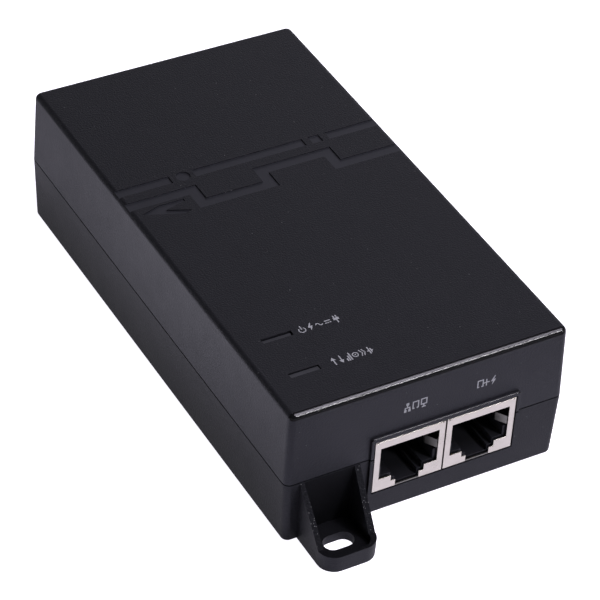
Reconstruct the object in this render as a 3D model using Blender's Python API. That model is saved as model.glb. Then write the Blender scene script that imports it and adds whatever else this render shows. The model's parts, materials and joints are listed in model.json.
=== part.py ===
"""Power-over-Ethernet injector: a two-shell plastic case with a mains inlet and two shielded RJ45 jacks.

Lengths are in millimetres and become metres where a mesh is made. +Z is up, the jacks are at the -Y
end, the inlet is at the +Y end, and the origin is under the middle of the case.
"""

import math

import bmesh
import bpy
from mathutils import Matrix, Vector

MM = 0.001
GAP = 0.3                       # clearance between pieces that touch on the real thing

# Case
CASE_WIDTH = 64.9               # at the seam, the widest level
CASE_LENGTH = 120.0
CASE_HEIGHT = 33.45
SEAM_Z = 15.65
SEAM_GAP = 0.3
WALL = 2.2
TOP_DRAFT = (0.4, 0.42)         # how far each side leans in by the top, X and Y
BASE_DRAFT = (0.65, 0.25)       # how far each side leans in by the bottom
CORNER_RADIUS = 1.5
TOP_EDGE_RADIUS = 1.2
BASE_EDGE_RADIUS = 0.6
TONGUE_HEIGHT = 1.8             # lip of the lower shell inside the upper one
TONGUE_INSET = 1.3

# Jacks
JACK_WIDTH = 16.3
JACK_HEIGHT = 13.3
JACK_DEPTH = 20.6
JACK_CENTRES = {"lan": -4.25, "poe": 12.4}
JACK_FRONT = -60.4
JACK_BOTTOM = 6.5
SHEET = 0.35                    # shield thickness
PORT_HALF_WIDTH = 6.8
PORT_LOW = 3.05                 # heights above the jack's underside
PORT_HIGH = 11.35
LATCH_STEPS = ((3.85, 1.6), (2.75, 0.0))   # half width, height above the underside
INSERT_STEPS = ((3.7, 1.95), (2.6, 0.0))
INSERT_LOW = 3.4                # floor under the plug, above the underside
PLUG_HALF_WIDTH = 6.05
PLUG_DEPTH = 15.0
LATCH_DEPTH = 10.0
LATCH_FLOOR = 0.6                # top of the insert's floor under the latch, above the underside
SPRING_LOW, SPRING_HIGH = 6.2, 8.35        # ground springs, above the underside
SPRING_PATH = ((6.76, -59.95), (5.3, -57.8), (5.22, -57.3), (5.6, -56.5))   # inner face, off centre
SPRING_SHEET = 0.28
CONTACT_COUNT = 8
CONTACT_PITCH = 1.02
CONTACT_RADIUS = 0.25
CONTACT_ROOT = (-58.4, 17.95)   # Y, Z of the line about which the contacts flex

# Raised frame round the jacks
FRAME_CLEARANCE = 0.25
FRAME_WIDTH = 0.75
FRAME_TOP_WIDTH = 1.0
FRAME_PROUD = 0.5
FRAME_RADIUS = 0.6

# Screw ears
EAR_X = -22.37
EAR_FRONT = -71.65
EAR_HALF_WIDTH = 6.4
EAR_FLARE = 0.45                # extra half width at the gussets' top
EAR_TOP = 15.4
EAR_LIP = 3.95
EAR_FLOOR = 2.15
EAR_WALLS = (1.4, 1.2)          # gusset thickness at the pocket's floor and at the gussets' top
POCKET_SHIFT = -0.12            # the pocket sits this far off the ear's middle
EAR_LIP_WIDTH = 0.7
EAR_RADIUS = 3.6
EAR_SLOPE_FOOT = -68.3
SLOT_CENTRE = (-22.75, -65.75)
SLOT_LENGTH = 6.8
SLOT_WIDTH = 4.15

# Indicators
INDICATOR_X = -22.9
INDICATOR_Y = {"power": -36.95, "active": -48.45}
INDICATOR_SLOT = (6.8, 1.4)
INDICATOR_RECESS = {"power": 0.45, "active": 0.25}
PIPE_CLEARANCE = 0.12

# Top relief
RELIEF_DEPTH = 0.25
TRACE_WIDTH = 2.7

# Board and its supports
BOARD_BOTTOM = 4.6
BOARD_TOP = 6.2
PARTS_Z = BOARD_TOP + GAP
BOARD_HALF = (29.0, 57.4)
BOARD_NOTCH = (22.8, 50.1)
BOSS_CENTRE = (27.0, 54.2)
BOARD_SCREW_X = 25.5
BOARD_SCREW_Y = 30.0

# Mains inlet
INLET_HALF_WIDTH = 14.0
INLET_LOW, INLET_HIGH = 6.7, 27.7
INLET_BACK, INLET_FRONT = 43.5, 60.3
INLET_MIDDLE = 17.2
CAVITY_HALF_WIDTH = 12.3
CAVITY_HALF_HEIGHT = 8.6
CAVITY_FLOOR = 45.2
PIN_SIZE = (2.0, 4.0)
PIN_PLACES = {"line": (-7.0, 15.2), "neutral": (7.0, 15.2), "earth": (0.0, 19.2)}

BLACK = (0.012, 0.012, 0.014)
TIN = (0.62, 0.6, 0.57)


# ---------------------------------------------------------------- building blocks

def object_from(bm, name):
    """Turn a bmesh in millimetres into an object in metres with its faces pointing out."""
    bmesh.ops.recalc_face_normals(bm, faces=bm.faces)
    bmesh.ops.scale(bm, vec=(MM, MM, MM), verts=bm.verts)
    mesh = bpy.data.meshes.new(name)
    bm.to_mesh(mesh)
    bm.free()
    obj = bpy.data.objects.new(name, mesh)
    bpy.context.collection.objects.link(obj)
    return obj


def finish(obj, colour, roughness=0.5, metallic=0.0, sharp_degrees=35):
    """Give the piece its own material and smooth its round faces."""
    material = bpy.data.materials.new(obj.name)
    material.use_nodes = True
    shader = material.node_tree.nodes["Principled BSDF"]
    shader.inputs["Base Color"].default_value = (*colour, 1.0)
    shader.inputs["Roughness"].default_value = roughness
    shader.inputs["Metallic"].default_value = metallic
    obj.data.materials.clear()
    obj.data.materials.append(material)
    obj.data.shade_smooth()
    obj.data.set_sharp_from_angle(angle=math.radians(sharp_degrees))
    return obj


def loft(name, rings):
    """A closed solid through rings of equal point count, with flat ends."""
    bm = bmesh.new()
    loops = [[bm.verts.new(point) for point in ring] for ring in rings]
    for low, high in zip(loops, loops[1:]):
        for i in range(len(low)):
            j = (i + 1) % len(low)
            bm.faces.new((low[i], low[j], high[j], high[i]))
    bm.faces.new(loops[0])
    bm.faces.new(loops[-1])
    return object_from(bm, name)


def prism(name, outline, start, end, along="Z"):
    """An outline extruded from start to end: its points are (X, Y), (X, Z) or (Y, Z)."""
    place = {
        "Z": lambda a, b, t: (a, b, t),
        "Y": lambda a, b, t: (a, t, b),
        "X": lambda a, b, t: (t, a, b),
    }[along]
    return loft(name, [[place(a, b, t) for a, b in outline] for t in (start, end)])


def box(name, low, high):
    """A box between two corners."""
    outline = [(low[0], low[1]), (high[0], low[1]), (high[0], high[1]), (low[0], high[1])]
    return prism(name, outline, low[2], high[2])


def circle(centre, radius, segments=24):
    """Points round a circle."""
    turns = [2 * math.pi * i / segments for i in range(segments)]
    return [(centre[0] + radius * math.cos(t), centre[1] + radius * math.sin(t)) for t in turns]


def rod(name, centre, radius, start, end, along="Z", segments=24):
    """A cylinder; centre holds its two coordinates across the axis."""
    return prism(name, circle(centre, radius, segments), start, end, along)


def rounded(low, high, radius, segments=6):
    """A rectangle with round corners; radius is one value, or four from the low corner, turning left."""
    radii = radius if isinstance(radius, (tuple, list)) else (radius,) * 4
    corners = ((low[0], low[1], 180), (high[0], low[1], 270), (high[0], high[1], 0), (low[0], high[1], 90))
    points = []
    for (x, y, start), r in zip(corners, radii):
        if r == 0:
            points.append((x, y))
            continue
        cx = x + r if x == low[0] else x - r
        cy = y + r if y == low[1] else y - r
        for i in range(segments + 1):
            turn = math.radians(start + 90 * i / segments)
            points.append((cx + r * math.cos(turn), cy + r * math.sin(turn)))
    return points


def stadium(centre, length, width, segments=10):
    """A slot outline, long along the first axis."""
    r = width / 2
    reach = length / 2 - r
    points = []
    for side, start in ((1, -90), (-1, 90)):
        for i in range(segments + 1):
            turn = math.radians(start + 180 * i / segments)
            points.append((centre[0] + side * reach + r * math.cos(turn), centre[1] + r * math.sin(turn)))
    return points


def combine(target, tool, operation="DIFFERENCE"):
    """Cut, join or intersect target with tool, and use the tool up."""
    tool.hide_render = True
    tool.display_type = "WIRE"
    modifier = target.modifiers.new(operation.lower(), "BOOLEAN")
    modifier.operation = operation
    modifier.solver = "EXACT"
    modifier.object = tool
    bpy.context.view_layer.update()
    evaluated = target.evaluated_get(bpy.context.evaluated_depsgraph_get())
    mesh = bpy.data.meshes.new_from_object(evaluated)
    mesh.name = target.name
    target.modifiers.clear()
    target.data = mesh
    bpy.data.objects.remove(tool)
    return target


def join(target, tool):
    return combine(target, tool, "UNION")


def half_turn(obj):
    """Carry the piece half a turn round the case's upright axis."""
    obj.data.transform(Matrix.Rotation(math.pi, 4, "Z"))
    return obj


# ---------------------------------------------------------------- case shells

def half_size(z):
    """Half width and half length of the case's outside at a height."""
    if z >= SEAM_Z:
        share = (z - SEAM_Z) / (CASE_HEIGHT - SEAM_Z)
        draft = TOP_DRAFT
    else:
        share = (SEAM_Z - z) / SEAM_Z
        draft = BASE_DRAFT
    return CASE_WIDTH / 2 - draft[0] * share, CASE_LENGTH / 2 - draft[1] * share


def case_ring(z, inset=0.0):
    """The case's outline at a height, moved in by inset."""
    hx, hy = half_size(z)
    hx -= inset
    hy -= inset
    radius = max(CORNER_RADIUS - inset, 0.5)
    return [(x, y, z) for x, y in rounded((-hx, -hy), (hx, hy), radius)]


def case_block(name, low, high, inset=0.0):
    return loft(name, [case_ring(low, inset), case_ring(high, inset)])


def rounded_shell(name, flat_z, edge_z, radius, steps):
    """The solid between the seam's flat_z and the rounded top or bottom edge at edge_z."""
    direction = 1 if edge_z > flat_z else -1
    rings = [case_ring(flat_z)]
    for i in range(steps + 1):
        turn = math.radians(90 * i / steps)
        z = edge_z - direction * radius * (1 - math.sin(turn))
        rings.append(case_ring(z, radius * (1 - math.cos(turn))))
    return loft(name, rings)


def jack_span():
    """X limits and Z limits of the two jacks together."""
    half = JACK_WIDTH / 2
    return (
        (JACK_CENTRES["lan"] - half, JACK_CENTRES["poe"] + half),
        (JACK_BOTTOM, JACK_BOTTOM + JACK_HEIGHT),
    )


def jack_window():
    """The cutter for the jacks' window in the front wall."""
    (left, right), (bottom, top) = jack_span()
    c = FRAME_CLEARANCE
    return box("jack_window", (left - c, -63, bottom - c), (right + c, -50, top + c))


def inlet_window():
    """The cutter for the inlet's window in the rear wall."""
    x = INLET_HALF_WIDTH + GAP
    return box("inlet_window", (-x, 53, INLET_LOW - GAP), (x, 63, INLET_HIGH + GAP))


def frame_half(low, high, radii):
    """The raised frame's block between two heights."""
    (left, right), _ = jack_span()
    reach = FRAME_CLEARANCE + FRAME_WIDTH
    outline = rounded((left - reach, low), (right + reach, high), radii)
    return prism("frame", outline, -CASE_LENGTH / 2 - FRAME_PROUD, -58.6, "Y")


def trace(points, width):
    """The outline of a channel of even width along a path of X and Y runs."""
    half = width / 2
    left = []
    right = []
    for i, (x, y) in enumerate(points):
        before = points[max(i - 1, 0)]
        after = points[min(i + 1, len(points) - 1)]
        run_in = Vector((x - before[0], y - before[1])).normalized()
        run_out = Vector((after[0] - x, after[1] - y)).normalized()
        if i == 0:
            run_in = run_out
        if i == len(points) - 1:
            run_out = run_in
        normal_in = Vector((-run_in.y, run_in.x))
        normal_out = Vector((-run_out.y, run_out.x))
        offset = normal_in if normal_in == normal_out else normal_in + normal_out
        left.append((x + half * offset.x, y + half * offset.y))
        right.append((x - half * offset.x, y - half * offset.y))
    return left + right[::-1]


def relief_outlines():
    """The sunk circuit-trace decoration on the top."""
    edge = 34.0
    rail_low, rail_high = 17.2, 19.7
    upper_y, lower_y = 13.4, 8.35
    outlines = [
        [(-edge, rail_low), (-18.9, rail_low), (-18.9, rail_high), (-edge, rail_high)],
        [(-13.4, rail_low), (13.5, rail_low), (13.5, rail_high), (-13.4, rail_high)],
        [(15.1, rail_low), (17.6, rail_low), (17.6, rail_high), (15.1, rail_high)],
        [(19.3, rail_low), (edge, rail_low), (edge, rail_high), (19.3, rail_high)],
        circle((-15.95, 18.45), 1.6, 20),
        trace(
            [(-edge, upper_y), (-16.2, upper_y), (-16.2, lower_y), (0.1, lower_y),
             (0.1, upper_y), (16.4, upper_y), (16.4, lower_y), (edge, lower_y)],
            TRACE_WIDTH,
        ),
        [(-29.8, 9.9), (-21.2, 6.7), (-19.4, 7.3), (-24.4, 9.4), (-19.4, 10.7), (-19.4, 11.4), (-25.2, 11.4)],
    ]
    return outlines


def upper_case():
    """The upper shell."""
    low = SEAM_Z + SEAM_GAP / 2
    shell = rounded_shell("upper_case", low, CASE_HEIGHT, TOP_EDGE_RADIUS, 5)
    _, (_, jack_top) = jack_span()
    frame_top = jack_top + FRAME_CLEARANCE + FRAME_TOP_WIDTH
    join(shell, frame_half(low, frame_top, (0, 0, FRAME_RADIUS, FRAME_RADIUS)))
    combine(shell, case_block("cavity", low - 2, CASE_HEIGHT - WALL, WALL))
    rabbet_top = low - SEAM_GAP + TONGUE_HEIGHT + GAP
    combine(shell, case_block("rabbet", low - 2, rabbet_top, TONGUE_INSET - GAP))
    for sx in (-1, 1):
        for sy in (-1, 1):
            centre = (sx * BOSS_CENTRE[0], sy * BOSS_CENTRE[1])
            join(shell, rod("boss", centre, 2.9, 11.3, CASE_HEIGHT - WALL + 0.6))
            combine(shell, rod("pilot", centre, 1.55, 10, 22, segments=12))
    combine(shell, jack_window())
    combine(shell, inlet_window())
    length, width = INDICATOR_SLOT
    for y in INDICATOR_Y.values():
        slot = box(
            "slot",
            (INDICATOR_X - length / 2, y - width / 2, CASE_HEIGHT - WALL - 1),
            (INDICATOR_X + length / 2, y + width / 2, CASE_HEIGHT + 1),
        )
        combine(shell, slot)
    for outline in relief_outlines():
        combine(shell, prism("relief", outline, CASE_HEIGHT - RELIEF_DEPTH, CASE_HEIGHT + 1))
    return finish(shell, BLACK, 0.5)


def ear():
    """The front screw ear: a dished plate with two sloped gussets and a slotted hole."""
    back = -58.6

    def ring(z, rear, side=0.0, lip=0.0, shift=0.0):
        """The ear's outline at a height, its sides and its lip moved in and all of it shifted along X."""
        half = EAR_HALF_WIDTH + EAR_FLARE * z / EAR_TOP - side
        radius = EAR_RADIUS - (side + lip) / 2
        middle = EAR_X + shift
        outline = rounded(
            (middle - half, EAR_FRONT + lip), (middle + half, rear), (radius, radius, 0, 0), 6
        )
        return [(x, y, z) for x, y in outline]

    body = loft("ear", [ring(0, back), ring(EAR_TOP, back)])
    side = [
        (back, 0), (EAR_FRONT - 1, 0), (EAR_FRONT - 1, EAR_LIP), (EAR_SLOPE_FOOT, EAR_LIP),
        (-CASE_LENGTH / 2, EAR_TOP), (back, EAR_TOP),
    ]
    combine(body, prism("side", side, EAR_X - 9, EAR_X + 9, "X"), "INTERSECT")
    front_wall = -CASE_LENGTH / 2
    low_wall, high_wall = EAR_WALLS
    pocket = loft("pocket", [
        ring(EAR_FLOOR, front_wall, low_wall, EAR_LIP_WIDTH, POCKET_SHIFT),
        ring(EAR_TOP, front_wall, high_wall, EAR_LIP_WIDTH, POCKET_SHIFT),
        ring(EAR_TOP + 2, front_wall, high_wall, EAR_LIP_WIDTH, POCKET_SHIFT),
    ])
    combine(body, pocket)
    combine(body, prism("slot", stadium(SLOT_CENTRE, SLOT_LENGTH, SLOT_WIDTH), -1, EAR_FLOOR + 1))
    return body


def lower_case():
    """The lower shell with its two screw ears."""
    high = SEAM_Z - SEAM_GAP / 2
    shell = rounded_shell("lower_case", high, 0, BASE_EDGE_RADIUS, 3)
    join(shell, case_block("tongue", high - 2, high + TONGUE_HEIGHT, TONGUE_INSET))
    _, (jack_bottom, _) = jack_span()
    frame_bottom = jack_bottom - FRAME_CLEARANCE - FRAME_WIDTH
    join(shell, frame_half(frame_bottom, high, (FRAME_RADIUS, FRAME_RADIUS, 0, 0)))
    combine(shell, case_block("cavity", WALL, high + TONGUE_HEIGHT + 2, WALL))
    join(shell, ear())
    join(shell, half_turn(ear()))
    for sx in (-1, 1):
        for sy in (-1, 1):
            centre = (sx * BOSS_CENTRE[0], sy * BOSS_CENTRE[1])
            join(shell, rod("boss", centre, 3.8, 1, 11))
            combine(shell, rod("counterbore", centre, 2.7, -1, 9.1))
            combine(shell, rod("hole", centre, 1.6, 8, 12, segments=16))
        post = (sx * BOARD_SCREW_X, BOARD_SCREW_Y)
        join(shell, rod("post", post, 2.6, 1.5, BOARD_BOTTOM - GAP, segments=16))
        combine(shell, rod("pilot", post, 1.3, 1.2, 6, segments=12))
        join(shell, rod("rest", (sx * BOARD_SCREW_X, -BOARD_SCREW_Y), 1.8, 1.5, BOARD_BOTTOM - GAP, segments=12))
    combine(shell, jack_window())
    combine(shell, inlet_window())
    return finish(shell, BLACK, 0.5)


# ---------------------------------------------------------------- fasteners

def screw(name, centre, head_radius, head, shank_radius, tip):
    """A pan-head screw; head is its two Z limits, the driven face first, and tip is the shank's end."""
    driven, seat = head
    direction = 1 if tip > seat else -1
    body = rod(name, centre, head_radius, min(head), max(head))
    join(body, rod("shank", centre, shank_radius, seat - direction * 0.4, tip, segments=12))
    arm, half, depth = head_radius * 0.62, 0.35, 0.9
    low = min(driven - direction, driven + direction * depth)
    high = max(driven - direction, driven + direction * depth)
    x, y = centre
    for dx, dy in ((arm, half), (half, arm)):
        combine(body, box("drive", (x - dx, y - dy, low), (x + dx, y + dy, high)))
    return finish(body, (0.35, 0.35, 0.37), 0.35, 1.0)


def screws():
    """Four case screws from below and two board screws from above."""
    number = 0
    for sx in (-1, 1):
        for sy in (-1, 1):
            number += 1
            centre = (sx * BOSS_CENTRE[0], sy * BOSS_CENTRE[1])
            screw(f"case_screw_{number}", centre, 2.4, (7.0, 8.8), 1.25, 20.0)
    for number, sx in enumerate((-1, 1), 1):
        centre = (sx * BOARD_SCREW_X, BOARD_SCREW_Y)
        screw(f"board_screw_{number}", centre, 2.2, (8.1, PARTS_Z), 1.0, 1.6)


# ---------------------------------------------------------------- jacks

def port_outline(centre, half_width, low, high, floor, steps):
    """The plug opening with its stepped latch notch, down to floor."""
    (wide, step), (narrow, _) = steps
    step += JACK_BOTTOM
    half = [
        (half_width, high), (half_width, low), (wide, low), (wide, step), (narrow, step), (narrow, floor),
    ]
    return [(centre + x, z) for x, z in half] + [(centre - x, z) for x, z in half[::-1]]


def jack_shield(name, centre):
    """The stamped shield: front, top, sides and back, open below, with fold reliefs at its top corners."""
    half = JACK_WIDTH / 2
    top = JACK_BOTTOM + JACK_HEIGHT
    back = JACK_FRONT + JACK_DEPTH
    shield = box(name, (centre - half, JACK_FRONT, JACK_BOTTOM), (centre + half, back, top))
    inside = box(
        "inside",
        (centre - half + SHEET, JACK_FRONT + SHEET, JACK_BOTTOM - 1),
        (centre + half - SHEET, back - SHEET, top - SHEET),
    )
    combine(shield, inside)
    outline = port_outline(
        centre, PORT_HALF_WIDTH, JACK_BOTTOM + PORT_LOW, JACK_BOTTOM + PORT_HIGH, JACK_BOTTOM - 1,
        LATCH_STEPS,
    )
    combine(shield, prism("port", outline, JACK_FRONT - 1, JACK_FRONT + 0.7, "Y"))
    for side in (-1, 1):
        xs = sorted((centre + side * (half - 0.75), centre + side * (half - 0.4)))
        relief = box("fold_relief", (xs[0], JACK_FRONT - 1, top - 0.35), (xs[1], JACK_FRONT + 0.3, top + 1))
        combine(shield, relief)
    return finish(shield, TIN, 0.32, 1.0)


def ground_springs(jack, centre):
    """The spring strips that press on a plug's sides, each hinged at the edge of the shield's opening."""
    inner = SPRING_PATH
    outer = [(x + SPRING_SHEET, y) for x, y in inner]
    for name, side in (("left", -1), ("right", 1)):
        outline = [(centre + side * x, y) for x, y in [*inner, *outer[::-1]]]
        low, high = JACK_BOTTOM + SPRING_LOW, JACK_BOTTOM + SPRING_HIGH
        finish(prism(f"{jack}_{name}_ground_spring", outline, low, high), TIN, 0.3, 1.0, 25)


def jack_insert(name, centre):
    """The moulded insert that guides the plug and holds the contacts."""
    front = JACK_FRONT + SHEET + GAP
    half = JACK_WIDTH / 2 - SHEET - GAP
    top = JACK_BOTTOM + JACK_HEIGHT - SHEET - GAP
    back = JACK_FRONT + JACK_DEPTH - SHEET - GAP
    insert = box(name, (centre - half, front, JACK_BOTTOM + 0.1), (centre + half, back, top))
    floor = JACK_BOTTOM + INSERT_LOW
    ceiling = JACK_BOTTOM + PORT_HIGH - 0.3
    throat = port_outline(centre, PLUG_HALF_WIDTH, floor, ceiling, JACK_BOTTOM + LATCH_FLOOR, INSERT_STEPS)
    combine(insert, prism("throat", throat, front - 1, front + LATCH_DEPTH, "Y"))
    x = PLUG_HALF_WIDTH
    combine(insert, box("plug", (centre - x, front + 1, floor), (centre + x, front + PLUG_DEPTH, ceiling)))
    comb = CONTACT_PITCH * CONTACT_COUNT / 2 + 0.3
    combine(insert, box("comb", (centre - comb, -59.2, ceiling - 1), (centre + comb, -46.4, 18.8)))
    for side in (-1, 1):
        xs = sorted((centre + side * (PLUG_HALF_WIDTH - 0.5), centre + side * (half + 1)))
        slot = box("spring_slot", (xs[0], front - 1, JACK_BOTTOM + SPRING_LOW - GAP), (xs[1], -55.5, ceiling))
        combine(insert, slot)
    return finish(insert, (0.008, 0.008, 0.009), 0.45)


def wire(name, points, radius, sides=8):
    """A round wire through points that share one X."""
    rings = []
    for i, point in enumerate(points):
        before = Vector(points[max(i - 1, 0)])
        after = Vector(points[min(i + 1, len(points) - 1)])
        along = (after - before).normalized()
        across = Vector((1, 0, 0))
        up = across.cross(along)
        rings.append([
            Vector(point)
            + across * radius * math.cos(2 * math.pi * k / sides)
            + up * radius * math.sin(2 * math.pi * k / sides)
            for k in range(sides)
        ])
    return loft(name, rings)


def jack_contacts(jack, centre):
    """Eight spring wires that hang from the roof of the plug space, hinged at its mouth."""
    root_y, root_z = CONTACT_ROOT
    for number in range(CONTACT_COUNT):
        x = centre + (number - (CONTACT_COUNT - 1) / 2) * CONTACT_PITCH
        route = [(root_y, root_z), (-50.4, 15.3), (-49.2, 14.85), (-48.3, 15.0)]
        contact = wire(f"{jack}_contact_{number + 1}", [(x, y, z) for y, z in route], CONTACT_RADIUS)
        finish(contact, (0.8, 0.55, 0.2), 0.25, 1.0, 60)


def jacks():
    for jack, centre in JACK_CENTRES.items():
        jack_shield(f"{jack}_jack_shield", centre)
        jack_insert(f"{jack}_jack_insert", centre)
        jack_contacts(jack, centre)
        ground_springs(jack, centre)


# ---------------------------------------------------------------- mains inlet

def inlet():
    """The inlet housing with two cut corners in its cavity, and its three pins."""
    housing = prism(
        "inlet_housing",
        rounded((-INLET_HALF_WIDTH, INLET_LOW), (INLET_HALF_WIDTH, INLET_HIGH), 1.2, 3),
        INLET_BACK, INLET_FRONT, "Y",
    )
    hx, hz, cut = CAVITY_HALF_WIDTH, CAVITY_HALF_HEIGHT, 4.6
    cavity = [
        (-hx, -hz), (hx, -hz), (hx, hz - cut), (hx - cut, hz), (cut - hx, hz), (-hx, hz - cut),
    ]
    outline = [(x, INLET_MIDDLE + z) for x, z in cavity]
    combine(housing, prism("cavity", outline, CAVITY_FLOOR, INLET_FRONT + 1, "Y"))
    for name, (x, z) in PIN_PLACES.items():
        hx = PIN_SIZE[0] / 2
        hz = PIN_SIZE[1] / 2
        combine(housing, box("hole", (x - hx - GAP, 40, z - hz - GAP), (x + hx + GAP, 50, z + hz + GAP)))
        low, high = (x - hx, z - hz), (x + hx, z + hz)
        pin = loft(f"inlet_{name}_pin", [
            [(a, 41.6, b) for a, b in rounded(low, high, 0.4, 2)],
            [(a, 57.4, b) for a, b in rounded(low, high, 0.4, 2)],
            [(a * 0.5 + x * 0.5, 58.6, b * 0.8 + z * 0.2) for a, b in rounded(low, high, 0.4, 2)],
        ])
        finish(pin, (0.75, 0.72, 0.66), 0.25, 1.0)
    return finish(housing, (0.015, 0.015, 0.016), 0.4)


# ---------------------------------------------------------------- board and what it carries

def board():
    """The circuit board with a notch at each corner for the case bosses."""
    (wide, long), (nx, ny) = BOARD_HALF, BOARD_NOTCH
    quarter = [(wide, ny), (nx, ny), (nx, long)]
    outline = quarter
    outline = outline + [(-x, y) for x, y in quarter[::-1]]
    outline = outline + [(-x, -y) for x, y in quarter]
    outline = outline + [(x, -y) for x, y in quarter[::-1]]
    plate = prism("main_board", outline, BOARD_BOTTOM, BOARD_TOP)
    for sx in (-1, 1):
        combine(plate, rod("hole", (sx * BOARD_SCREW_X, BOARD_SCREW_Y), 1.35, 3, 8, segments=12))
    finish(plate, (0.02, 0.16, 0.05), 0.4)
    sheet = prism("insulation_sheet", rounded((-21, -46), (21, 40), 2, 3), WALL + GAP, WALL + GAP + 0.4)
    finish(sheet, (0.75, 0.75, 0.7), 0.4)


def block(name, centre, size, colour, roughness=0.45, metallic=0.0, radius=0.5):
    """A moulded component standing on the board; size is X, Y, Z."""
    (x, y), (sx, sy, sz) = centre, size
    outline = rounded((x - sx / 2, y - sy / 2), (x + sx / 2, y + sy / 2), radius, 2)
    return finish(prism(name, outline, PARTS_Z, PARTS_Z + sz), colour, roughness, metallic)


def can(name, centre, radius, height, colour):
    """An upright electrolytic capacitor with a rolled top edge and a crimp near its foot."""
    profile = [
        (radius, 0), (radius, 1.2), (radius - 0.4, 1.6), (radius, 2.0), (radius, height - 0.6),
        (radius - 0.5, height), (radius - 0.9, height - 0.3),
    ]
    rings = [[(x, y, PARTS_Z + z) for x, y in circle(centre, r, 20)] for r, z in profile]
    return finish(loft(name, rings), colour, 0.3)


def heatsink(name, foot, side):
    """A finned plate; foot is its inner lower corner, and the fins point to side, -1 or 1."""
    x, y = foot
    length, plate, fin, reach, pitch = 22.0, 1.8, 1.4, 6.5, 5.15
    outline = [(0, 0)]
    for i in range(5):
        low = i * pitch
        outline += [(reach, low), (reach, low + fin)]
        if i < 4:
            outline += [(plate, low + fin), (plate, low + pitch)]
    outline += [(0, length)]
    outline[-2] = (reach, length)
    outline = [(x + side * a, y + b) for a, b in outline]
    return finish(prism(name, outline, PARTS_Z, PARTS_Z + 20), (0.7, 0.7, 0.72), 0.35, 1.0)


def mains_side():
    """Fuse, filter, choke, rectifier and bulk capacitor."""
    block("fuse", (-20, 38.5), (8.5, 4.2, 8), (0.02, 0.02, 0.02))
    block("filter_capacitor", (9.5, 37.0), (17.5, 8.5, 15), (0.75, 0.6, 0.1))
    base = PARTS_Z
    core = box("choke_core", (-9, 21, base), (9, 27, base + 18))
    combine(core, box("window", (-5, 20, base + 4), (5, 28, base + 14)))
    finish(core, (0.03, 0.03, 0.035), 0.7)
    for number, x in ((1, -7), (2, 7)):
        coil = rod(f"choke_coil_{number}", (x, 24), 4.9, base + 4.4, base + 13.6, segments=20)
        combine(coil, rod("leg", (x, 24), 3.95, base, base + 20, segments=20))
        finish(coil, (0.6, 0.2, 0.06), 0.35, 0.6)
    block("bridge_rectifier", (20.5, 24.5), (4.2, 15.5, 12), (0.02, 0.02, 0.02))
    can("bulk_capacitor", (-19.5, 15.0), 8.0, 22.0, (0.02, 0.03, 0.06))


def converter():
    """Switch, transformer, output rectifier and their cooling."""
    heatsink("primary_heatsink", (18.6, -7.5), 1)
    block("switching_transistor", (16.0, 3.5), (4.4, 10, 16), (0.02, 0.02, 0.02))
    base = PARTS_Z
    core = box("transformer_core", (-13, -10, base), (13, 4, base + 21))
    for x in (-1, 1):
        xs = sorted((x * 3.6, x * 10))
        combine(core, box("window", (xs[0], -12, base + 3.5), (xs[1], 6, base + 17.5)))
    finish(core, (0.04, 0.04, 0.045), 0.7)
    coil = box("transformer_coil", (-9.6, -15, base + 3.9), (9.6, 9, base + 17.1))
    combine(coil, box("leg", (-3.9, -10.3, base), (3.9, 4.3, base + 20)))
    finish(coil, (0.75, 0.6, 0.12), 0.45)
    heatsink("secondary_heatsink", (-18.6, -29), -1)
    block("output_diode", (-16.0, -18), (4.4, 10, 16), (0.02, 0.02, 0.02))
    can("output_capacitor_1", (-7.5, -29.5), 5.0, 20.0, (0.02, 0.03, 0.06))
    can("output_capacitor_2", (4.0, -29.5), 5.0, 20.0, (0.02, 0.03, 0.06))
    block("optocoupler", (22.5, -19.5), (4.6, 6.5, 3.5), (0.9, 0.9, 0.88))
    block("controller_chip", (-4.0, 13.5), (5, 6, 1.6), (0.02, 0.02, 0.02), radius=0.3)
    block("data_transformer", (19.0, -31.0), (13, 12, 6), (0.02, 0.02, 0.02))


def indicators():
    """Each indicator's LED on the board and the light pipe that carries its light to the top slot."""
    length, width = INDICATOR_SLOT
    foot = PARTS_Z + 3.2
    half = length / 2 - PIPE_CLEARANCE
    thick = width / 2 - PIPE_CLEARANCE
    for name, y in INDICATOR_Y.items():
        tip = CASE_HEIGHT - INDICATOR_RECESS[name]
        outline = [
            (half, tip), (half, tip - 1.6), (2.0, tip - 3.2), (2.0, foot),
            (-2.0, foot), (-2.0, tip - 3.2), (-half, tip - 1.6), (-half, tip),
        ]
        shape = [(INDICATOR_X + x, z) for x, z in outline]
        pipe = prism(f"{name}_light_pipe", shape, y - thick, y + thick, "Y")
        finish(pipe, (0.08, 0.08, 0.09), 0.25)
        profile = [(1.5, 0), (1.5, 1.6), (1.3, 2.3), (0.75, 2.8)]
        rings = [[(a, b, PARTS_Z + z) for a, b in circle((INDICATOR_X, y), r, 16)] for r, z in profile]
        finish(loft(f"{name}_led", rings), (0.5, 0.7, 0.5), 0.2)


def main():
    for obj in list(bpy.data.objects):
        bpy.data.objects.remove(obj)
    upper_case()
    lower_case()
    screws()
    jacks()
    inlet()
    board()
    mains_side()
    converter()
    indicators()


main()
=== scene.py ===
"""Looks of the Power-over-Ethernet injector: camera, light, materials and the finely finished pieces.

Shapes are worked out in millimetres and become metres where a mesh is made.
"""

import json
import math

import bmesh
import bpy
from mathutils import Matrix, Vector

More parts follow.
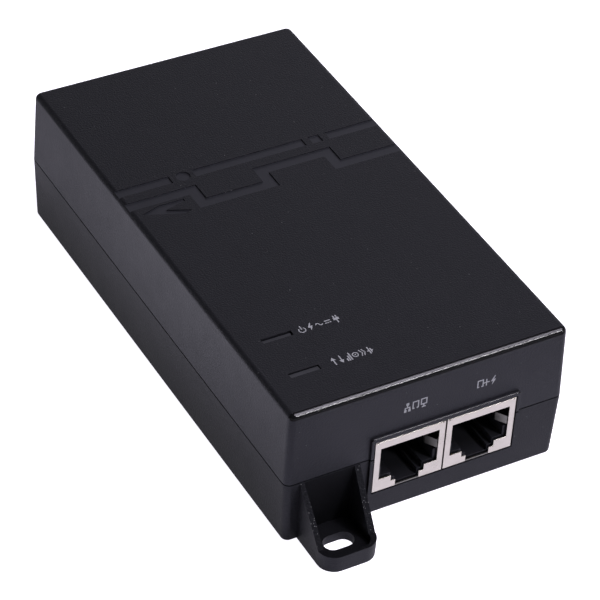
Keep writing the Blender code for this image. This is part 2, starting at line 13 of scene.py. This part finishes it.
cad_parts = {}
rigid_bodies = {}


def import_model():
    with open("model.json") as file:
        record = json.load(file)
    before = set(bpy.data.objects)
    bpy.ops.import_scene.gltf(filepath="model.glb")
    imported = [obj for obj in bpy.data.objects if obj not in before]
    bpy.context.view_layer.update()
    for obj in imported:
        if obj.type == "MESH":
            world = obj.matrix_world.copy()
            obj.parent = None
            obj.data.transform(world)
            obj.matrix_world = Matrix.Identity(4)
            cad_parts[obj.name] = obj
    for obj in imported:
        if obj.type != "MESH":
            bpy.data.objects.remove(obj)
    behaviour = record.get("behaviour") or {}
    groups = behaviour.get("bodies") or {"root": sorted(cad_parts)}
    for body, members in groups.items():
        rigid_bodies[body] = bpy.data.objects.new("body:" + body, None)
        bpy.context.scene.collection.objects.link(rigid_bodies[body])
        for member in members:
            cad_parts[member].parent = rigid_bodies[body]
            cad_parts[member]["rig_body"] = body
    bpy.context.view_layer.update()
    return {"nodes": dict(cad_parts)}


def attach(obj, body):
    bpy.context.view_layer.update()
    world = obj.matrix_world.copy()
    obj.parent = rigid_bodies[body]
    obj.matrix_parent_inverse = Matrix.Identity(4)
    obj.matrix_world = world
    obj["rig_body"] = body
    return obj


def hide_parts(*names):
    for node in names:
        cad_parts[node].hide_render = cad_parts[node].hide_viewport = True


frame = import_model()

MM = 0.001

CASE_TOP = 33.45
SEAM_Z = 15.65
FRONT_Y = -60.0                             # the front wall at the seam
FRONT_LEAN = 0.42 / (CASE_TOP - SEAM_Z)     # how far it leans in per unit of height
RELIEF_FLOOR = 33.2
SHIELD_FRONT = -60.4
SILL, SILL_LENGTH, SILL_INSET = 0.3, 5.36, 0.02
BEZEL_FRONT = -60.15                        # nearer than this, only the raised frame round the jacks
BEZEL_LEFT, BEZEL_RIGHT = -20, 23
BEZEL_TOP = 20.5                            # above this, only its upper bar
EAR_Y = 60.1                                # further out than this, only the screw ears


# ---------------------------------------------------------------- camera

CAMERA_TARGET = Vector((-1.835, -9.833, 15.43)) * MM
CAMERA_DISTANCE = 612.6 * MM
CAMERA_AZIMUTH = math.radians(-31.03)       # 0 looks along +Y; negative stands on the -X side
CAMERA_ELEVATION = math.radians(39.35)
CAMERA_ROLL = math.radians(3.85)
CAMERA_LENS = 172.83                        # on a 36 mm sensor


def add_camera():
    flat = math.cos(CAMERA_ELEVATION)
    back = Vector((
        math.sin(CAMERA_AZIMUTH) * flat, -math.cos(CAMERA_AZIMUTH) * flat, math.sin(CAMERA_ELEVATION),
    ))
    camera = bpy.data.objects.new("camera", bpy.data.cameras.new("camera"))
    bpy.context.collection.objects.link(camera)
    camera.data.lens = CAMERA_LENS
    camera.data.sensor_width = 36
    camera.data.clip_start = 0.01
    turn = back.to_track_quat("Z", "Y").to_matrix().to_4x4()
    roll = Matrix.Rotation(CAMERA_ROLL, 4, "Z")
    camera.matrix_world = Matrix.Translation(CAMERA_TARGET + back * CAMERA_DISTANCE) @ turn @ roll
    bpy.context.scene.camera = camera


# ---------------------------------------------------------------- materials

SPECK_RADIUS = 0.075                        # of a dust speck, in millimetres
SPECK_COLOUR = (0.2, 0.2, 0.21, 1.0)
BROAD = 14                                  # how much wider the mottling is than the grain


def scaled(colour, factor):
    return (*[min(c * factor, 1.0) for c in colour], 1.0)


def surface(
    name, colour, rough, metal=0.0, mottle=0.15, rough_swing=0.05, grain=0.4, depth=6.0,
    stretch=(1, 1, 1), specular=0.5, tint=(1, 1, 1), specks=0.0, spacing=1.5, clear=0.0,
):
    """A finish with mottled colour, uneven roughness and a fine grain.

    grain is the size of the grain in millimetres and depth its height in micrometres. The dust
    specks lie in cells that are spacing millimetres wide, and specks is the share of them that
    hold one.
    """
    material = bpy.data.materials.new(name)
    material.use_nodes = True
    nodes = material.node_tree.nodes
    link = material.node_tree.links.new
    shader = nodes["Principled BSDF"]
    shader.inputs["Metallic"].default_value = metal
    shader.inputs["Specular IOR Level"].default_value = specular
    shader.inputs["Specular Tint"].default_value = (*tint, 1.0)
    shader.inputs["Transmission Weight"].default_value = clear

    place = nodes.new("ShaderNodeTexCoord")
    mapping = nodes.new("ShaderNodeMapping")
    mapping.inputs["Scale"].default_value = stretch
    link(place.outputs["Object"], mapping.inputs["Vector"])

    def noise(size, detail):
        node = nodes.new("ShaderNodeTexNoise")
        node.inputs["Scale"].default_value = 1 / (size * MM)
        node.inputs["Detail"].default_value = detail
        link(mapping.outputs["Vector"], node.inputs["Vector"])
        return node

    broad = noise(grain * BROAD, 3)
    fine = noise(grain, 2)

    shade = nodes.new("ShaderNodeMix")
    shade.data_type = "RGBA"
    shade.inputs["A"].default_value = scaled(colour, 1 - mottle)
    shade.inputs["B"].default_value = scaled(colour, 1 + mottle)
    link(broad.outputs["Fac"], shade.inputs["Factor"])
    colour_out = shade.outputs["Result"]

    if specks > 0:
        cells = nodes.new("ShaderNodeTexVoronoi")
        cells.inputs["Scale"].default_value = 1 / (spacing * MM)
        link(place.outputs["Object"], cells.inputs["Vector"])
        dot = nodes.new("ShaderNodeMath")
        dot.operation = "LESS_THAN"
        dot.inputs[1].default_value = SPECK_RADIUS / spacing
        link(cells.outputs["Distance"], dot.inputs[0])
        pick = nodes.new("ShaderNodeSeparateColor")
        link(cells.outputs["Color"], pick.inputs["Color"])
        chosen = nodes.new("ShaderNodeMath")
        chosen.operation = "LESS_THAN"
        chosen.inputs[1].default_value = specks
        link(pick.outputs["Red"], chosen.inputs[0])
        both = nodes.new("ShaderNodeMath")
        both.operation = "MULTIPLY"
        link(dot.outputs[0], both.inputs[0])
        link(chosen.outputs[0], both.inputs[1])
        dusty = nodes.new("ShaderNodeMix")
        dusty.data_type = "RGBA"
        dusty.inputs["B"].default_value = SPECK_COLOUR
        link(both.outputs[0], dusty.inputs["Factor"])
        link(colour_out, dusty.inputs["A"])
        colour_out = dusty.outputs["Result"]
    link(colour_out, shader.inputs["Base Color"])

    roughness = nodes.new("ShaderNodeMapRange")
    roughness.inputs["To Min"].default_value = rough - rough_swing
    roughness.inputs["To Max"].default_value = rough + rough_swing
    link(broad.outputs["Fac"], roughness.inputs["Value"])
    link(roughness.outputs["Result"], shader.inputs["Roughness"])

    bump = nodes.new("ShaderNodeBump")
    bump.inputs["Strength"].default_value = 1.0
    bump.inputs["Distance"].default_value = depth * MM * MM
    link(fine.outputs["Fac"], bump.inputs["Height"])
    link(bump.outputs["Normal"], shader.inputs["Normal"])
    return material


BLACK = (0.0085, 0.0085, 0.0103)            # the case's plastic
COOL = (0.8, 0.8, 1.0)                      # the faint blue of its gloss


def black(share):
    return tuple(channel * share for channel in BLACK)


FINISHES = {
    "case": surface("case", BLACK, 0.5, specular=0.36, tint=COOL, grain=0.36, depth=85, specks=0.17),
    # painted shade: the lower shell's copy of the case plastic, darker and less glossy so its side reads
    # shaded
    "base_painted_shade": surface("base_painted_shade", black(0.85), 0.5, specular=0.27, tint=COOL, grain=0.36, depth=85, specks=0.17),
    # the round edges are smoother than the case, a real polish; their darker colour is painted shade that
    # deepens the bands beside the highlight
    "edge": surface(
        "edge", black(0.6), 0.14, rough_swing=0.02, specular=0.4, tint=(0.96, 0.94, 1.0), grain=0.15,
        depth=20,
    ),
    # painted shade: a far darker, almost glossless copy of the case plastic for the front faces of the frame
    # round the jacks
    "bezel": surface("bezel", black(0.25), 0.4, specular=0.02, tint=COOL, grain=0.3, depth=20),
    # painted shade: a darker, less glossy copy of the case plastic for the faces inside the ear's recess
    "pocket": surface("pocket", black(0.6), 0.5, specular=0.09, tint=COOL, grain=0.3, depth=60),
    "relief": surface("relief", black(1.5), 0.44, specular=0.75, tint=COOL, grain=0.3, depth=5),
    "gusset": surface(
        "gusset", black(0.7), 0.4, mottle=0.4, specular=0.12, tint=COOL, grain=0.34, depth=160,
        specks=0.5, spacing=0.42,
    ),
    "tin": surface(
        "tin", (0.6, 0.56, 0.52), 0.3, metal=1.0, mottle=0.14, rough_swing=0.09, grain=0.3, depth=9,
        stretch=(1, 1, 1.6),
    ),
    "spring": surface(
        "spring", (0.2, 0.193, 0.186), 0.36, metal=1.0, mottle=0.1, rough_swing=0.06, grain=0.5, depth=2,
    ),
    "insert": surface("insert", (0.013, 0.013, 0.016), 0.4, specular=0.16, tint=COOL, grain=0.25, depth=4),
    "gold": surface("gold", (0.62, 0.4, 0.14), 0.24, metal=1.0, mottle=0.08, grain=0.3, depth=1),
    "inlet": surface("inlet", (0.008, 0.008, 0.009), 0.42, specular=0.35, grain=0.3, depth=5),
    "nickel": surface(
        "nickel", (0.4, 0.385, 0.35), 0.24, metal=1.0, mottle=0.07, grain=0.4, depth=1.5, stretch=(1, 6, 1),
    ),
    "zinc": surface(
        "zinc", (0.22, 0.22, 0.23), 0.34, metal=1.0, mottle=0.2, rough_swing=0.08, grain=0.3, depth=3,
    ),
    "pipe": surface(
        "pipe", (0.045, 0.045, 0.052), 0.4, specular=0.7, tint=COOL, grain=0.3, depth=3, clear=0.15,
    ),
    "led": surface("led", (0.3, 0.4, 0.3), 0.3, grain=0.3, depth=1, clear=0.4),
    "board": surface("board", (0.008, 0.075, 0.028), 0.32, mottle=0.3, grain=0.6, depth=3),
    "film": surface("film", (0.3, 0.3, 0.28), 0.3, mottle=0.08, grain=1.0, depth=4, clear=0.3),
    "resin": surface("resin", (0.012, 0.012, 0.012), 0.42, grain=0.25, depth=6),
    "white_resin": surface("white_resin", (0.34, 0.34, 0.32), 0.45, mottle=0.06, grain=0.3, depth=4),
    "yellow": surface("yellow", (0.34, 0.22, 0.03), 0.35, mottle=0.12, grain=0.5, depth=4),
    "ferrite": surface("ferrite", (0.018, 0.018, 0.02), 0.62, mottle=0.3, grain=0.2, depth=10),
    "copper": surface(
        "copper", (0.32, 0.1, 0.03), 0.28, metal=0.9, rough_swing=0.06, grain=0.35, depth=14,
        stretch=(1, 1, 0.2),
    ),
    "sleeve": surface("sleeve", (0.008, 0.012, 0.03), 0.26, mottle=0.2, grain=0.5, depth=2),
    "aluminium": surface(
        "aluminium", (0.3, 0.3, 0.31), 0.36, metal=1.0, mottle=0.06, rough_swing=0.06, grain=0.5, depth=3,
        stretch=(1, 1, 8),
    ),
    "ink": surface("ink", (0.35, 0.35, 0.39), 0.6, specular=0.3, mottle=0.12, grain=0.15, depth=3),
}


# ---------------------------------------------------------------- finely finished pieces

def mesh_object(bm, name, finishes, smooth_degrees=34):
    """An object in metres from a bmesh in millimetres, with smooth bevels and flat faces kept flat."""
    bmesh.ops.recalc_face_normals(bm, faces=bm.faces)
    limit = math.radians(smooth_degrees)
    for face in bm.faces:
        face.smooth = True
    for edge in bm.edges:
        pair = edge.link_faces
        edge.smooth = (
            len(pair) == 2 and edge.calc_face_angle() < limit
            and pair[0].material_index == pair[1].material_index
        )
    bmesh.ops.scale(bm, vec=(MM, MM, MM), verts=bm.verts)
    mesh = bpy.data.meshes.new(name)
    bm.to_mesh(mesh)
    bm.free()
    for finish in finishes:
        mesh.materials.append(FINISHES[finish])
    obj = bpy.data.objects.new(name, mesh)
    bpy.context.collection.objects.link(obj)
    weighted = obj.modifiers.new("normals", "WEIGHTED_NORMAL")
    weighted.keep_sharp = True
    return obj


def node_mesh(node):
    """A bmesh in millimetres of a CAD node, its flat faces whole again."""
    bm = bmesh.new()
    bm.from_mesh(frame["nodes"][node].data)
    bmesh.ops.scale(bm, vec=(1 / MM, 1 / MM, 1 / MM), verts=bm.verts)
    bmesh.ops.remove_doubles(bm, verts=bm.verts, dist=0.002)
    bmesh.ops.dissolve_limit(bm, angle_limit=math.radians(0.5), verts=bm.verts, edges=bm.edges)
    return bm


def soften(bm, width, wanted=None, segments=3, sharper_than=30):
    """Round the sharp edges, all of them or those whose middle wanted() accepts."""
    limit = math.radians(sharper_than)
    edges = []
    for edge in bm.edges:
        if len(edge.link_faces) != 2 or edge.calc_face_angle() < limit:
            continue
        middle = (edge.verts[0].co + edge.verts[1].co) / 2
        if wanted is None or wanted(middle):
            edges.append(edge)
    bmesh.ops.bevel(
        bm, geom=edges, offset=width, offset_type="OFFSET", segments=segments, profile=0.5,
        affect="EDGES", clamp_overlap=True,
    )


def stand_in(obj, node):
    """Show obj in place of a CAD node, moving with the node's body."""
    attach(obj, frame["nodes"][node]["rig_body"])
    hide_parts(node)


def outside(middle):
    """Whether a point lies in the case's outer skin rather than in its cavity."""
    x, y, z = middle
    deep_z = 0.9 < z < CASE_TOP - 0.8
    return not (abs(x) < 31.4 and abs(y) < 58.9 and deep_z)


def decorated(middle):
    """Whether a point lies on the top face, clear of the case's round edges."""
    x, y, z = middle
    return z > RELIEF_FLOOR - 0.1 and abs(x) < 30.5 and abs(y) < 58


def round_edge(middle):
    """Whether a point lies on the round edge between the top face and the front."""
    x, y, z = middle
    return CASE_TOP - 1.15 < z < CASE_TOP - 0.01 and y < -58.4 and abs(x) < 31.9


def bezel_rim(middle):
    """Whether a point lies on the front outer rim of the raised frame round the jacks."""
    x, y, z = middle
    return y < BEZEL_FRONT and (z > BEZEL_TOP or BEZEL_LEFT < x < -13.1 or x > 21.2)


def bezel_lip(middle):
    """Whether a point lies on the frame's inner edge, next to the jacks."""
    return bezel(middle) and not bezel_rim(middle)


def bezel(middle):
    """Whether a point lies in the frame's proud part."""
    return middle.y < BEZEL_FRONT and BEZEL_LEFT < middle.x < BEZEL_RIGHT


def upper_shell():
    bm = node_mesh("upper_case")
    soften(bm, 0.06, decorated, 2)
    soften(bm, 0.18, bezel_rim)
    soften(bm, 0.08, bezel_lip)
    soften(bm, 0.15, lambda middle: outside(middle) and not decorated(middle) and not bezel(middle))
    for face in bm.faces:
        middle = face.calc_center_median()
        if face.normal.z > 0.9 and abs(middle.z - RELIEF_FLOOR) < 0.02:
            face.material_index = 1
        # the round front edge takes the edge finish, whose darker colour is painted shade
        elif round_edge(middle):
            face.material_index = 2
        # the flat front faces of the frame's upper bar take the dark copy, painted shade; its sloping faces
        # take the edge finish
        elif bezel(middle) and middle.z > 19.85 and face.normal.y < -0.2:
            face.material_index = 3 if face.normal.y < -0.99 else 2
    return mesh_object(bm, "upper_shell", ("case", "relief", "edge", "bezel"))


def in_pocket(point):
    """Whether a point lies between an ear's gussets or on them, against the case."""
    x, y, z = point
    return 15.5 < abs(x) < 29.2 and x * y > 0 and abs(y) < 60.5 and z > 1.5


def lower_shell():
    bm = node_mesh("lower_case")
    soften(bm, 0.14, outside)
    for face in bm.faces:
        centre = face.calc_center_median()
        sloped = 0.3 < face.normal.z < 0.8 and abs(face.normal.y) > 0.5
        if sloped and 60.4 < abs(centre.y) < 68.3 and 3.5 < centre.z < 15.4:
            face.material_index = 1
        # the floor and lip top of each ear and the walls between its gussets take the darker copy, painted
        # shade in the recess
        elif face.normal.z > 0.9 and abs(centre.y) > EAR_Y and 2 < centre.z < 4.1:
            face.material_index = 2
        elif abs(face.normal.y) > 0.9 and all(in_pocket(vert.co) for vert in face.verts):
            face.material_index = 2
    # the lower shell wears the darker copy of the case plastic, painted shade
    return mesh_object(bm, "lower_shell", ("base_painted_shade", "gusset", "pocket"))


def add_sill(bm):
    """The edge of a shield's bottom sheet, seen across the foot of the latch notch."""
    middle = (min(v.co.x for v in bm.verts) + max(v.co.x for v in bm.verts)) / 2
    bottom = min(v.co.z for v in bm.verts)
    inset = SILL / 2 + SILL_INSET
    place = Matrix.Translation((middle, SHIELD_FRONT + inset, bottom + inset))
    size = Matrix.Diagonal((SILL_LENGTH, SILL, SILL, 1))
    made = bmesh.ops.create_cube(bm, size=1, matrix=place @ size)
    for face in {face for vert in made["verts"] for face in vert.link_faces}:
        face.material_index = 1


def plain_piece(node, finish, width):
    bm = node_mesh(node)
    if width > 0:
        soften(bm, width)
    finishes = (finish,)
    if "jack_shield" in node:
        add_sill(bm)
        finishes = (finish, "spring")
    return mesh_object(bm, node + "_fine", finishes)


# ---------------------------------------------------------------- printed pictograms

STROKE = 0.22
ICON_WIDTH = 1.4
INK_BELOW, INK_ABOVE = 0.04, 0.012          # how far the ink reaches into and out of the plastic


def bar(u0, v0, u1, v1):
    return [(u0, v0), (u1, v0), (u1, v1), (u0, v1)]


def line(start, end, width=STROKE):
    """A straight stroke between two points."""
    run = (Vector(end) - Vector(start)).normalized() * width / 2
    across = Vector((-run.y, run.x))
    corners = (Vector(start) - across, Vector(end) - across, Vector(end) + across, Vector(start) + across)
    return [tuple(corner) for corner in corners]


def arc(u, v, radius, start, end, width=STROKE, steps=14):
    """A curved stroke round a centre, between two angles in degrees."""
    turns = [math.radians(start + (end - start) * i / steps) for i in range(steps + 1)]

    def curve(r):
        return [(u + r * math.cos(turn), v + r * math.sin(turn)) for turn in turns]

    return curve(radius + width / 2) + curve(radius - width / 2)[::-1]


def ring(u, v, radius):
    return [arc(u, v, radius, 0, 180), arc(u, v, radius, 180, 360)]


BOLT = [[(0.95, 2.3), (0.1, 1.0), (0.62, 1.0), (0.42, 0.0), (1.3, 1.38), (0.78, 1.38), (1.2, 2.3)]]
SWITCH = [arc(0.7, 0.95, 0.72, 128, 412), bar(0.57, 1.15, 0.83, 2.3)]
STEADY = [
    bar(0, 1.35, 1.4, 1.62), bar(0, 0.7, 0.36, 0.97), bar(0.52, 0.7, 0.88, 0.97), bar(1.04, 0.7, 1.4, 0.97),
]
WAVE = [arc(0.36, 1.15, 0.36, 10, 180), arc(1.08, 1.15, 0.36, 180, 350)]
PLUG = [
    bar(0.28, 1.6, 0.54, 2.3), bar(0.86, 1.6, 1.12, 2.3), bar(0.05, 0.95, 1.35, 1.6),
    bar(0.57, 0.0, 0.83, 0.95),
]
UP = [bar(0.47, 0, 0.73, 1.4), [(0.05, 1.4), (1.15, 1.4), (0.6, 2.3)]]
DOWN = [bar(0.47, 0.9, 0.73, 2.3), [(0.6, 0), (1.15, 0.9), (0.05, 0.9)]]
BARS = [bar(0, 0, 0.3, 0.8), bar(0.45, 0, 0.75, 1.5), bar(0.9, 0, 1.2, 2.3)]
TARGET = ring(0.6, 1.15, 0.6) + [bar(0.45, 1.0, 0.75, 1.3)]
AHEAD = [
    line((0.1, 2.1), (0.55, 1.15)), line((0.1, 0.2), (0.55, 1.15)),
    line((0.7, 2.1), (1.15, 1.15)), line((0.7, 0.2), (1.15, 1.15)),
]
PULSE = [
    bar(0, 0.9, 0.35, 1.16), bar(0.35, 0.1, 0.61, 2.2), bar(0.78, 0.5, 1.04, 1.7), bar(1.04, 0.9, 1.3, 1.16),
]
TREE = [
    bar(0.42, 1.65, 1.08, 2.3), bar(0.62, 1.2, 0.88, 1.65), bar(0.1, 0.95, 1.4, 1.2),
    bar(0.1, 0.65, 0.36, 0.95), bar(1.14, 0.65, 1.4, 0.95), bar(0, 0, 0.55, 0.65), bar(0.95, 0, 1.5, 0.65),
]
SCREEN = [
    bar(0, 2.04, 1.5, 2.3), bar(0, 0.7, 0.26, 2.04), bar(1.24, 0.7, 1.5, 2.04), bar(0.26, 0.7, 1.24, 0.96),
    bar(0.62, 0.26, 0.88, 0.7), bar(0.3, 0, 1.2, 0.26),
]
PORT = [
    bar(0, 0.3, 0.26, 2.2), bar(1.24, 0.3, 1.5, 2.2), bar(0.26, 1.94, 1.24, 2.2),
    bar(0.26, 0.3, 0.5, 0.56), bar(1.0, 0.3, 1.24, 0.56),
]
PLUS = [bar(0.5, 0.3, 0.76, 2.0), bar(-0.08, 1.02, 0.5, 1.28), bar(0.76, 1.02, 1.34, 1.28)]


def top_place(u, v, height):
    return u, v, CASE_TOP + height


def front_place(u, v, height):
    return u, FRONT_Y + (v - SEAM_Z) * FRONT_LEAN - height, v


def printed(name, icons, left, right, foot, place):
    """A row of pictograms in ink, spread evenly between left and right, standing on foot."""
    bm = bmesh.new()
    step = (right - left - ICON_WIDTH) / (len(icons) - 1)
    for number, icon in enumerate(icons):
        for outline in icon:
            points = [(left + number * step + u, foot + v) for u, v in outline]
            low = [bm.verts.new(place(u, v, -INK_BELOW)) for u, v in points]
            high = [bm.verts.new(place(u, v, INK_ABOVE)) for u, v in points]
            bm.faces.new(low)
            bm.faces.new(high)
            for i in range(len(points)):
                j = (i + 1) % len(points)
                bm.faces.new((low[i], low[j], high[j], high[i]))
    obj = mesh_object(bm, name, ("ink",))
    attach(obj, "case")


printed("power_print", (SWITCH, BOLT, WAVE, STEADY, PLUG), -18.0, -8.7, -38.15, top_place)
printed("activity_print", (UP, DOWN, BARS, TARGET, AHEAD, PULSE), -16.8, -7.3, -49.45, top_place)
printed("network_print", (TREE, PORT, SCREEN), -6.1, -0.9, 25.15, front_place)
printed("powered_port_print", (PORT, PLUS, BOLT), 10.9, 15.4, 25.0, front_place)


# ---------------------------------------------------------------- every other piece

PIECES = (
    # words in the node's name, finish, slot, edge softening
    ("screw", "zinc", "screw_steel", 0.12),
    ("jack_shield", "tin", "shield_tin", 0.07),
    ("ground_spring", "spring", "shield_tin", 0.06),
    ("jack_insert", "insert", "insert_plastic", 0.08),
    ("_contact_", "gold", "contact_gold", 0.0),
    ("inlet_housing", "inlet", "inlet_plastic", 0.25),
    ("_pin", "nickel", "pin_nickel", 0.12),
    ("main_board", "board", "board_laminate", 0.1),
    ("insulation_sheet", "film", "insulation_film", 0.08),
    ("light_pipe", "pipe", "light_pipe", 0.1),
    ("_led", "led", "led_lens", 0.15),
    ("optocoupler", "white_resin", "component_white", 0.15),
    ("filter_capacitor", "yellow", "film_yellow", 0.4),
    ("transformer_coil", "yellow", "film_yellow", 0.3),
    ("core", "ferrite", "ferrite", 0.25),
    ("choke_coil", "copper", "copper_wire", 0.2),
    ("_capacitor", "sleeve", "capacitor_sleeve", 0.2),
    ("heatsink", "aluminium", "heatsink_aluminium", 0.15),
    ("", "resin", "component_black", 0.2),
)

stand_in(upper_shell(), "upper_case")
stand_in(lower_shell(), "lower_case")
for node in sorted(frame["nodes"]):
    if node in ("upper_case", "lower_case"):
        continue
    finish, slot, width = next(row[1:] for row in PIECES if row[0] in node)
    stand_in(plain_piece(node, finish, width), node)


# ---------------------------------------------------------------- stage and light

FLOOR_HALF = 3000                           # in millimetres
FLOOR_GAP = 0.05                            # below the case, in millimetres
FLOOR_COLOUR = (0.80, 0.785, 0.87, 1.0)
FLOOR_LIGHT = (0.95, 0.93, 1.0, 1.0)
FLOOR_GLOW = 1.1                            # seen directly, the table is plain white without a shadow
FLOOR_NEAR, FLOOR_FAR = 0.38, 0.0           # the light it gives the object, close by and further off
FLOOR_REACH = (0.1, 0.2)                    # metres from the middle between which it fades
# painted shade: the table's colour darkens away from the middle, standing in for the edge of the pool of
# light
FLOOR_DIM = 0.9                             # how much darker its colour is beyond that
PATCH_CENTRE = (-0.15, 0.022, 0.0)          # a brighter part that lights the left side
PATCH_REACH = (0.05, 0.12)
PATCH_GLOW = 1.38

WORLD_ABOVE, WORLD_HORIZON = 0.05, 1.0      # brightness of the room overhead and near the horizon
WORLD_FADE = (0.1, 0.14)                    # heights on a unit sphere between which it changes

LIGHTS = (
    # name, direction from the object, distance, size, watts, colour
    ("overhead", (0.36, -0.25, 1.0), 1.3, (0.6, 0.6), 9.8, (1.0, 0.965, 1.05)),
    ("panel", (0.5, 0.62, 0.3), 1.4, (0.8, 0.5), 1.2, (0.92, 0.9, 1.0)),
    ("edge", (0.40, -0.63, 0.66), 1.2, (0.12, 0.12), 5.0, (1.0, 1.0, 1.0)),
)


def smooth_fade(nodes, reach, start, end):
    """A node that eases from start to end as its value crosses reach."""
    fade = nodes.new("ShaderNodeMapRange")
    fade.interpolation_type = "SMOOTHSTEP"
    fade.inputs["From Min"].default_value = reach[0]
    fade.inputs["From Max"].default_value = reach[1]
    fade.inputs["To Min"].default_value = start
    fade.inputs["To Max"].default_value = end
    return fade


def table_surface():
    """A pale table lit from below: plain white where it is seen, dimmer in what it lights."""
    material = bpy.data.materials.new("floor")
    material.use_nodes = True
    nodes = material.node_tree.nodes
    link = material.node_tree.links.new
    shader = nodes["Principled BSDF"]
    shader.inputs["Specular IOR Level"].default_value = 0.0
    shader.inputs["Emission Color"].default_value = FLOOR_LIGHT

    place = nodes.new("ShaderNodeTexCoord")
    middle = nodes.new("ShaderNodeVectorMath")
    middle.operation = "LENGTH"
    link(place.outputs["Object"], middle.inputs[0])
    patch = nodes.new("ShaderNodeVectorMath")
    patch.operation = "DISTANCE"
    patch.inputs[1].default_value = PATCH_CENTRE
    link(place.outputs["Object"], patch.inputs[0])

    near = smooth_fade(nodes, FLOOR_REACH, FLOOR_NEAR, FLOOR_FAR)
    link(middle.outputs["Value"], near.inputs["Value"])
    side = smooth_fade(nodes, PATCH_REACH, PATCH_GLOW, 0.0)
    link(patch.outputs["Value"], side.inputs["Value"])
    total = nodes.new("ShaderNodeMath")
    link(near.outputs["Result"], total.inputs[0])
    link(side.outputs["Result"], total.inputs[1])
    ray = nodes.new("ShaderNodeLightPath")
    glow = nodes.new("ShaderNodeMix")
    glow.inputs["B"].default_value = FLOOR_GLOW
    link(ray.outputs["Is Camera Ray"], glow.inputs["Factor"])
    link(total.outputs[0], glow.inputs["A"])
    link(glow.outputs["Result"], shader.inputs["Emission Strength"])

    # the table's colour fades to black away from the middle, painted shade outside the pool of light
    dim = smooth_fade(nodes, FLOOR_REACH, 0.0, FLOOR_DIM)
    link(middle.outputs["Value"], dim.inputs["Value"])
    shade = nodes.new("ShaderNodeMix")
    shade.data_type = "RGBA"
    shade.inputs["A"].default_value = FLOOR_COLOUR
    shade.inputs["B"].default_value = (0.0, 0.0, 0.0, 1.0)
    link(dim.outputs["Result"], shade.inputs["Factor"])
    link(shade.outputs["Result"], shader.inputs["Base Color"])
    return material


def add_stage():
    bm = bmesh.new()
    corners = ((-1, -1), (1, -1), (1, 1), (-1, 1))
    bm.faces.new([bm.verts.new((sx * FLOOR_HALF, sy * FLOOR_HALF, -FLOOR_GAP)) for sx, sy in corners])
    FINISHES["floor"] = table_surface()
    floor = mesh_object(bm, "floor", ("floor",))


def add_light(name, direction, distance, size, power, colour):
    """A soft rectangular light that looks at the object from a direction."""
    way = Vector(direction).normalized()
    light = bpy.data.lights.new(name, "AREA")
    light.shape = "RECTANGLE"
    light.size, light.size_y = size
    light.energy = power
    light.color = colour
    lamp = bpy.data.objects.new(name, light)
    bpy.context.collection.objects.link(lamp)
    lamp.matrix_world = Matrix.Translation(way * distance) @ way.to_track_quat("Z", "Y").to_matrix().to_4x4()


def add_world():
    """A room that is pale near the horizon and dim overhead."""
    world = bpy.data.worlds.new("world")
    bpy.context.scene.world = world
    world.use_nodes = True
    nodes = world.node_tree.nodes
    link = world.node_tree.links.new
    background = nodes["Background"]
    background.inputs["Color"].default_value = (1, 1, 1, 1)
    place = nodes.new("ShaderNodeTexCoord")
    split = nodes.new("ShaderNodeSeparateXYZ")
    fade = smooth_fade(nodes, WORLD_FADE, WORLD_HORIZON, WORLD_ABOVE)
    link(place.outputs["Generated"], split.inputs["Vector"])
    link(split.outputs["Z"], fade.inputs["Value"])
    link(fade.outputs["Result"], background.inputs["Strength"])


add_camera()
add_stage()
add_world()
for light in LIGHTS:
    add_light(*light)
bpy.context.scene.view_settings.view_transform = "Standard"
